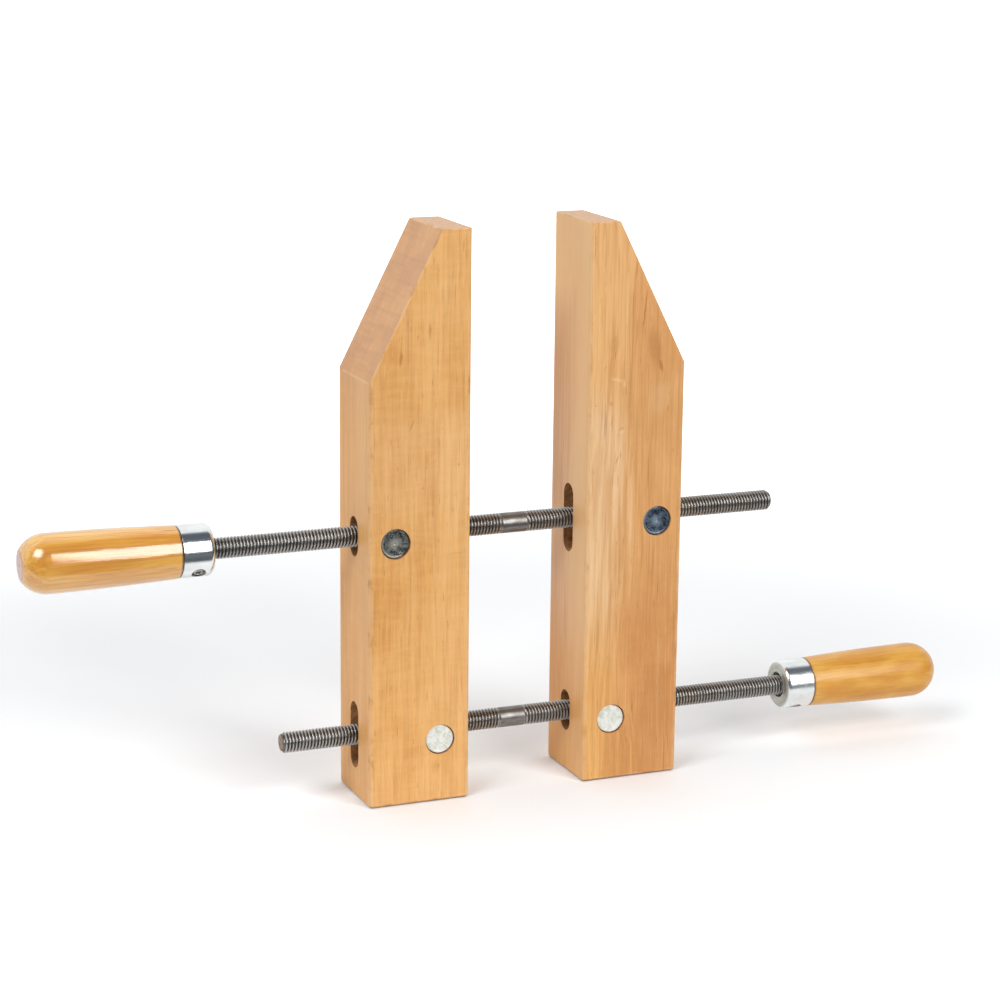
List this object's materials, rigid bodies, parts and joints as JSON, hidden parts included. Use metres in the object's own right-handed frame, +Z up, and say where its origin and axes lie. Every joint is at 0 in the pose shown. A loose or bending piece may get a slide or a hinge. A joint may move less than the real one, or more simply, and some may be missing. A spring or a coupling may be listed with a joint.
{
  "type": "wooden handscrew clamp",
  "caption": "Adjustable wooden handscrew: parallel hardwood jaws on steel screws with swivel nuts and turned wooden handles.",
  "frame": {"origin": "midway between the jaws and across their thickness, at the height of the butt ends", "axes": "+X along the screws, from the middle screw's handle to the end screw's handle; +Y across the jaws' thickness, away from the seen side; +Z up the jaws, from the butt ends to the tips"},
  "size_m": [0.5265, 0.048, 0.3048],
  "materials": {
    "jaw_maple": "satin oiled maple, grain along the jaw",
    "handle_varnish": "gloss amber varnish, grain along the handle",
    "spindle_steel": "dark oiled cut thread",
    "nut_blued": "blued, turned end faces",
    "nut_bright": "bright zinc, turned end faces",
    "ferrule_zinc": "bright zinc plate",
    "pin_steel": "plain steel"
  },
  "bodies": {
    "end_spindle": {"end_spindle": "spindle_steel"},
    "end_grip": {"end_handle": "handle_varnish", "end_ferrule": "ferrule_zinc", "end_ferrule_pin": "pin_steel"},
    "left_end_nut": {"left_end_nut": "nut_bright"},
    "right_end_nut": {"right_end_nut": "nut_bright"},
    "left_jaw": {"left_jaw": "jaw_maple"},
    "right_jaw": {"right_jaw": "jaw_maple"},
    "left_middle_nut": {"left_middle_nut": "nut_blued"},
    "right_middle_nut": {"right_middle_nut": "nut_blued"},
    "middle_spindle": {"middle_spindle": "spindle_steel"},
    "middle_grip": {"middle_handle": "handle_varnish", "middle_ferrule": "ferrule_zinc", "middle_ferrule_pin": "pin_steel"}
  },
  "joints": [
    {"name": "left_nut_travel", "type": "slide", "parent": "end_spindle", "child": "left_end_nut", "axis": [-1, 0, 0], "range_m": [-0.0282, 0.0605]},
    {"name": "right_nut_travel", "type": "slide", "parent": "end_spindle", "child": "right_end_nut", "axis": [1, 0, 0], "range_m": [-0.0282, 0.0605]},
    {"name": "end_handle_turn", "type": "hinge", "parent": "end_spindle", "child": "end_grip", "pos_m": [0, 0, 0.0342], "axis": [-1, 0, 0], "range_deg": [-5600, 12010]},
    {"name": "left_jaw_angle", "type": "hinge", "parent": "left_end_nut", "child": "left_jaw", "pos_m": [-0.0495, 0, 0.0342], "axis": [0, -1, 0], "range_deg": [0, 8]},
    {"name": "right_jaw_angle", "type": "hinge", "parent": "right_end_nut", "child": "right_jaw", "pos_m": [0.0495, 0, 0.0342], "axis": [0, 1, 0], "range_deg": [0, 8]},
    {"name": "left_middle_nut_swivel", "type": "hinge", "parent": "left_jaw", "child": "left_middle_nut", "pos_m": [-0.0745, 0, 0.1426], "axis": [0, 1, 0], "range_deg": [0, 8]},
    {"name": "right_middle_nut_swivel", "type": "hinge", "parent": "right_jaw", "child": "right_middle_nut", "pos_m": [0.0745, 0, 0.1426], "axis": [0, -1, 0], "range_deg": [0, 8]},
    {"name": "middle_spindle_drop", "type": "slide", "parent": "end_spindle", "child": "middle_spindle", "axis": [0, 0, -1], "range_m": [0, 0.0044]},
    {"name": "middle_handle_turn", "type": "hinge", "parent": "middle_spindle", "child": "middle_grip", "pos_m": [0, 0, 0.1426], "axis": [-1, 0, 0], "range_deg": [-5600, 12010]}
  ],
  "couplings": [
    {"joint": "right_nut_travel", "follows": "left_nut_travel", "ratio": 1},
    {"joint": "end_handle_turn", "follows": "left_nut_travel", "rad_per_m": 3463.2},
    {"joint": "middle_handle_turn", "follows": "left_nut_travel", "rad_per_m": 3463.2},
    {"joint": "right_jaw_angle", "follows": "left_jaw_angle", "ratio": 1},
    {"joint": "left_middle_nut_swivel", "follows": "left_jaw_angle", "ratio": 1},
    {"joint": "right_middle_nut_swivel", "follows": "left_jaw_angle", "ratio": 1},
    {"joint": "middle_spindle_drop", "follows": "left_jaw_angle", "m_per_rad": 0.03127}
  ]
}
